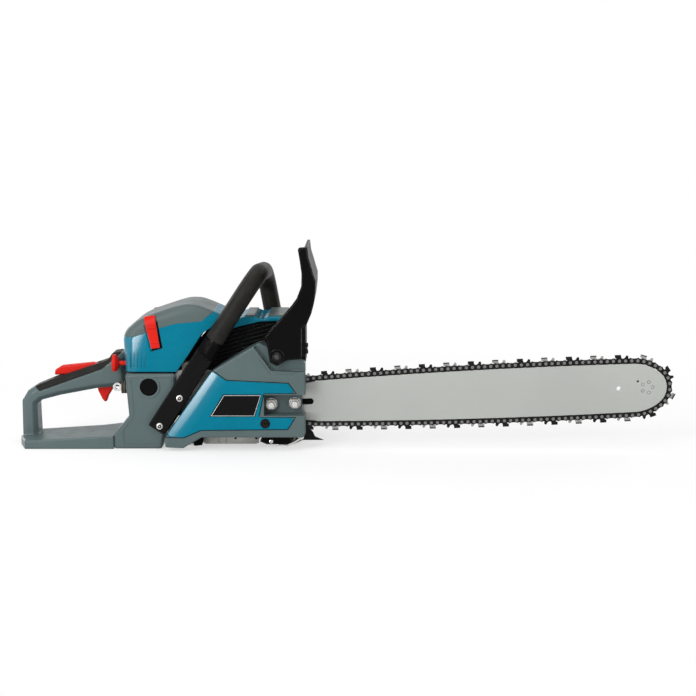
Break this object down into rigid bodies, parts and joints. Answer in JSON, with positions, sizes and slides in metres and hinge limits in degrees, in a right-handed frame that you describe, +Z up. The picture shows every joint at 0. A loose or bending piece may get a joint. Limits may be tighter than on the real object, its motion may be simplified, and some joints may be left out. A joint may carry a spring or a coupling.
{
  "type": "petrol chainsaw",
  "caption": "Petrol chainsaw with a grey and blue body, black handles, red controls and a long guide bar with its chain",
  "frame": {"origin": "Under the crankshaft's axis, on the plane that the saw stands on", "axes": "+X along the guide bar towards its nose, +Y from the clutch side to the starter side, +Z up"},
  "size_m": [0.8908, 0.18, 0.273],
  "materials": {
    "grey_housing": "satin",
    "blue_shell": "gloss",
    "pale_shell": "satin",
    "red_control": "satin",
    "black_plastic": "matte",
    "black_rubber": "matte",
    "brown_rubber": "matte",
    "black_enamel": "gloss",
    "bar_steel": "brushed",
    "chain_steel": "polished",
    "bright_zinc": "polished",
    "dark_steel": "machined",
    "cast_alloy": "cast",
    "machined_alloy": "machined",
    "filter_felt": "matte",
    "label_black": "gloss",
    "plug_ceramic": "glazed"
  },
  "bodies": {
    "saw": {"crankcase": "cast_alloy", "cylinder": "cast_alloy", "cylinder_cover": "blue_shell", "cover_caps": "pale_shell", "side_grille": "black_plastic", "muffler": "dark_steel", "spark_plug": "plug_ceramic", "clutch_cover": "grey_housing", "cover_panel": "blue_shell", "label_plate": "label_black", "bar_studs": "dark_steel", "bar_nuts": "bright_zinc", "spiked_bumper": "dark_steel", "chain_catcher": "black_plastic", "tank_housing": "grey_housing", "rear_handle": "grey_housing", "handle_grip": "black_rubber", "av_cap": "black_plastic", "front_handle": "black_enamel", "front_grip": "black_rubber", "fasteners": "dark_steel", "rubber_parts": "brown_rubber", "linkage_eye": "bright_zinc", "inner_housing": "black_plastic", "carburettor": "machined_alloy", "air_filter": "filter_felt", "intake_boot": "black_rubber", "oil_pump": "black_plastic", "brake_band": "dark_steel", "crank_bearings": "bright_zinc", "starter_housing": "grey_housing", "ignition_coil": "black_plastic", "tie_straps": "chain_steel", "drive_links": "chain_steel", "cutters": "chain_steel"},
    "crank": {"crankshaft": "dark_steel", "flywheel": "machined_alloy", "clutch_hub": "dark_steel", "clutch_shoes": "dark_steel"},
    "drum": {"clutch_drum": "dark_steel"},
    "piston_group": {"piston": "machined_alloy", "piston_rings": "dark_steel", "connecting_rod": "dark_steel", "wrist_pin": "bright_zinc"},
    "bar": {"guide_bar": "bar_steel"},
    "nose_wheel": {"nose_sprocket": "dark_steel"},
    "tensioner": {"tension_screw": "bright_zinc"},
    "guard": {"hand_guard": "black_plastic"},
    "trigger": {"throttle_trigger": "red_control"},
    "lockout": {"throttle_lockout": "red_control"},
    "choke": {"choke_knob": "red_control"},
    "switch": {"stop_switch": "red_control"},
    "filter_lid": {"filter_cover": "blue_shell", "filter_cover_top": "pale_shell"},
    "latch_a": {"near_latch": "red_control"},
    "latch_b": {"far_latch": "red_control"},
    "pull_grip": {"starter_grip": "black_plastic"},
    "pulley": {"starter_pulley": "black_plastic"},
    "fuel_lid": {"fuel_cap": "black_plastic"},
    "oil_lid": {"oil_cap": "black_plastic"}
  },
  "joints": [
    {"name": "crank_turn", "type": "hinge", "parent": "saw", "child": "crank", "pos_m": [0, 0, 0.058], "axis": [0, 1, 0], "continuous": true},
    {"name": "drum_turn", "type": "hinge", "parent": "saw", "child": "drum", "pos_m": [0, -0.055, 0.058], "axis": [0, 1, 0], "continuous": true},
    {"name": "piston_stroke", "type": "slide", "parent": "saw", "child": "piston_group", "axis": [0, 0, 1], "range_m": [-0.032, 0]},
    {"name": "bar_tension", "type": "slide", "parent": "saw", "child": "bar", "axis": [0.9991, 0, 0.0419], "range_m": [-0.006, 0]},
    {"name": "nose_turn", "type": "hinge", "parent": "bar", "child": "nose_wheel", "pos_m": [0.54802, -0.042, 0.08097], "axis": [0, 1, 0], "continuous": true},
    {"name": "tension_turn", "type": "hinge", "parent": "saw", "child": "tensioner", "pos_m": [0.033, -0.06, 0.038], "axis": [0, 1, 0], "range_deg": [-1081, 0]},
    {"name": "brake_guard", "type": "hinge", "parent": "saw", "child": "guard", "pos_m": [0.0492, -0.005, 0.128], "axis": [0, 1, 0], "range_deg": [0, 25]},
    {"name": "trigger_pull", "type": "hinge", "parent": "saw", "child": "trigger", "pos_m": [-0.183, -0.005, 0.092], "axis": [0, 1, 0], "range_deg": [0, 18], "stiffness_Nm_per_rad": 0.3, "springref_deg": -20.05},
    {"name": "lockout_press", "type": "hinge", "parent": "saw", "child": "lockout", "pos_m": [-0.206, -0.005, 0.1015], "axis": [0, -1, 0], "range_deg": [0, 10], "stiffness_Nm_per_rad": 0.3, "springref_deg": -20.05},
    {"name": "choke_pull", "type": "slide", "parent": "saw", "child": "choke", "axis": [-1, 0, 0], "range_m": [0, 0.01]},
    {"name": "switch_slide", "type": "slide", "parent": "saw", "child": "switch", "axis": [1, 0, 0], "range_m": [0, 0.005]},
    {"name": "filter_lift", "type": "slide", "parent": "saw", "child": "filter_lid", "axis": [0, 0, 1], "range_m": [0, 0.09]},
    {"name": "near_latch_swing", "type": "hinge", "parent": "filter_lid", "child": "latch_a", "pos_m": [-0.1215, -0.05, 0.182], "axis": [-0.9874, 0, -0.1581], "range_deg": [0, 60]},
    {"name": "far_latch_swing", "type": "hinge", "parent": "filter_lid", "child": "latch_b", "pos_m": [-0.1215, 0.044, 0.182], "axis": [0.9874, 0, 0.1581], "range_deg": [0, 60]},
    {"name": "rope_pull", "type": "slide", "parent": "saw", "child": "pull_grip", "axis": [0, 0.4226, 0.9063], "range_m": [0, 0.7], "stiffness_N_per_m": 15, "springref_m": -0.6},
    {"name": "pulley_turn", "type": "hinge", "parent": "saw", "child": "pulley", "pos_m": [0, 0.0515, 0.058], "axis": [0, 1, 0], "range_deg": [0, 2006]},
    {"name": "fuel_cap_off", "type": "slide", "parent": "saw", "child": "fuel_lid", "axis": [0, 1, 0], "range_m": [0, 0.025]},
    {"name": "oil_cap_off", "type": "slide", "parent": "saw", "child": "oil_lid", "axis": [0, 1, 0], "range_m": [0, 0.025]}
  ],
  "couplings": [
    {"joint": "nose_turn", "follows": "drum_turn", "ratio": 0.63636},
    {"joint": "tension_turn", "follows": "bar_tension", "rad_per_m": 3141.6},
    {"joint": "pulley_turn", "follows": "rope_pull", "rad_per_m": 50}
  ]
}
